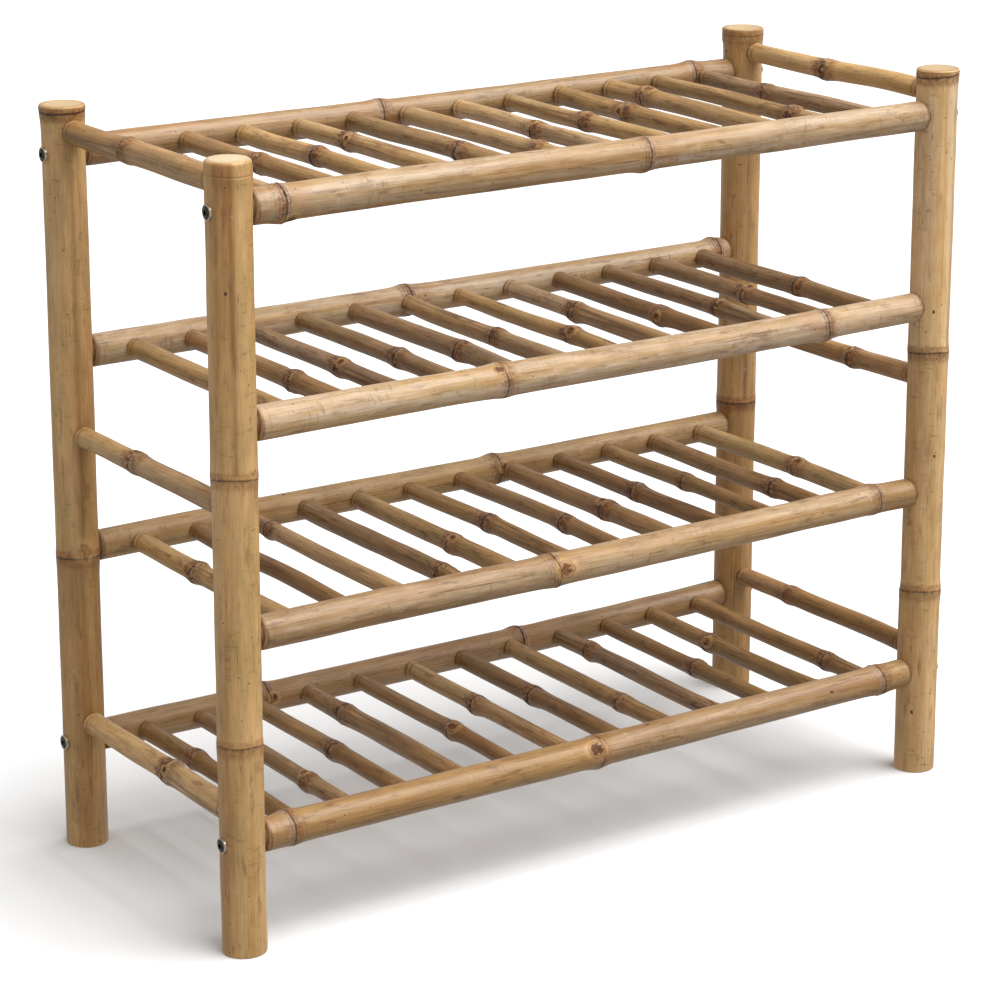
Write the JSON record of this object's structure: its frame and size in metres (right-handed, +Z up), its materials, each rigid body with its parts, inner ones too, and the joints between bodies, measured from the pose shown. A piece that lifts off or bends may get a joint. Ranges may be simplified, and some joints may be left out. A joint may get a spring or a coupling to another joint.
{
  "type": "shoe rack",
  "caption": "Free-standing bamboo shoe rack with open slatted shelves between round posts, joined by tenons and bolts.",
  "frame": {"origin": "on the floor under the centre of the rack", "axes": "+X along the rack to the right as seen from the front, +Y from front to back, +Z up"},
  "size_m": [0.8106, 0.3364, 0.7],
  "materials": {
    "post_bamboo": "satin lacquered bamboo culm, warm honey tan",
    "rail_bamboo": "satin lacquered bamboo culm, warm honey tan",
    "rung_bamboo": "satin lacquered thin bamboo, honey tan",
    "slat_bamboo": "satin lacquered thin bamboo, slightly darker tan",
    "plug_wood": "plain turned hardwood dowel",
    "insert_metal": "zinc alloy, matt",
    "bolt_metal": "yellow zinc plated steel, worn gloss"
  },
  "bodies": {
    "root": {"post_front_left": "post_bamboo", "post_front_right": "post_bamboo", "post_back_left": "post_bamboo", "post_back_right": "post_bamboo", "rail_top_front": "rail_bamboo", "rail_top_back": "rail_bamboo", "rail_upper_front": "rail_bamboo", "rail_upper_back": "rail_bamboo", "rail_lower_front": "rail_bamboo", "rail_lower_back": "rail_bamboo", "rail_bottom_front": "rail_bamboo", "rail_bottom_back": "rail_bamboo", "rung_left_top": "rung_bamboo", "rung_left_middle": "rung_bamboo", "rung_left_bottom": "rung_bamboo", "rung_right_top": "rung_bamboo", "rung_right_middle": "rung_bamboo", "rung_right_bottom": "rung_bamboo", "top_slats_1_2": "slat_bamboo", "top_slats_3_4": "slat_bamboo", "top_slats_5_6": "slat_bamboo", "top_slats_7_8": "slat_bamboo", "top_slats_9_10": "slat_bamboo", "top_slats_11_12": "slat_bamboo", "upper_slats_1_2": "slat_bamboo", "upper_slats_3_4": "slat_bamboo", "upper_slats_5_6": "slat_bamboo", "upper_slats_7_8": "slat_bamboo", "upper_slats_9_10": "slat_bamboo", "upper_slats_11_12": "slat_bamboo", "lower_slats_1_2": "slat_bamboo", "lower_slats_3_4": "slat_bamboo", "lower_slats_5_6": "slat_bamboo", "lower_slats_7_8": "slat_bamboo", "lower_slats_9_10": "slat_bamboo", "lower_slats_11_12": "slat_bamboo", "bottom_slats_1_2": "slat_bamboo", "bottom_slats_3_4": "slat_bamboo", "bottom_slats_5_6": "slat_bamboo", "bottom_slats_7_8": "slat_bamboo", "bottom_slats_9_10": "slat_bamboo", "bottom_slats_11_12": "slat_bamboo", "rail_end_plugs": "plug_wood", "threaded_inserts": "insert_metal", "bolts": "bolt_metal"}
  },
  "joints": []
}
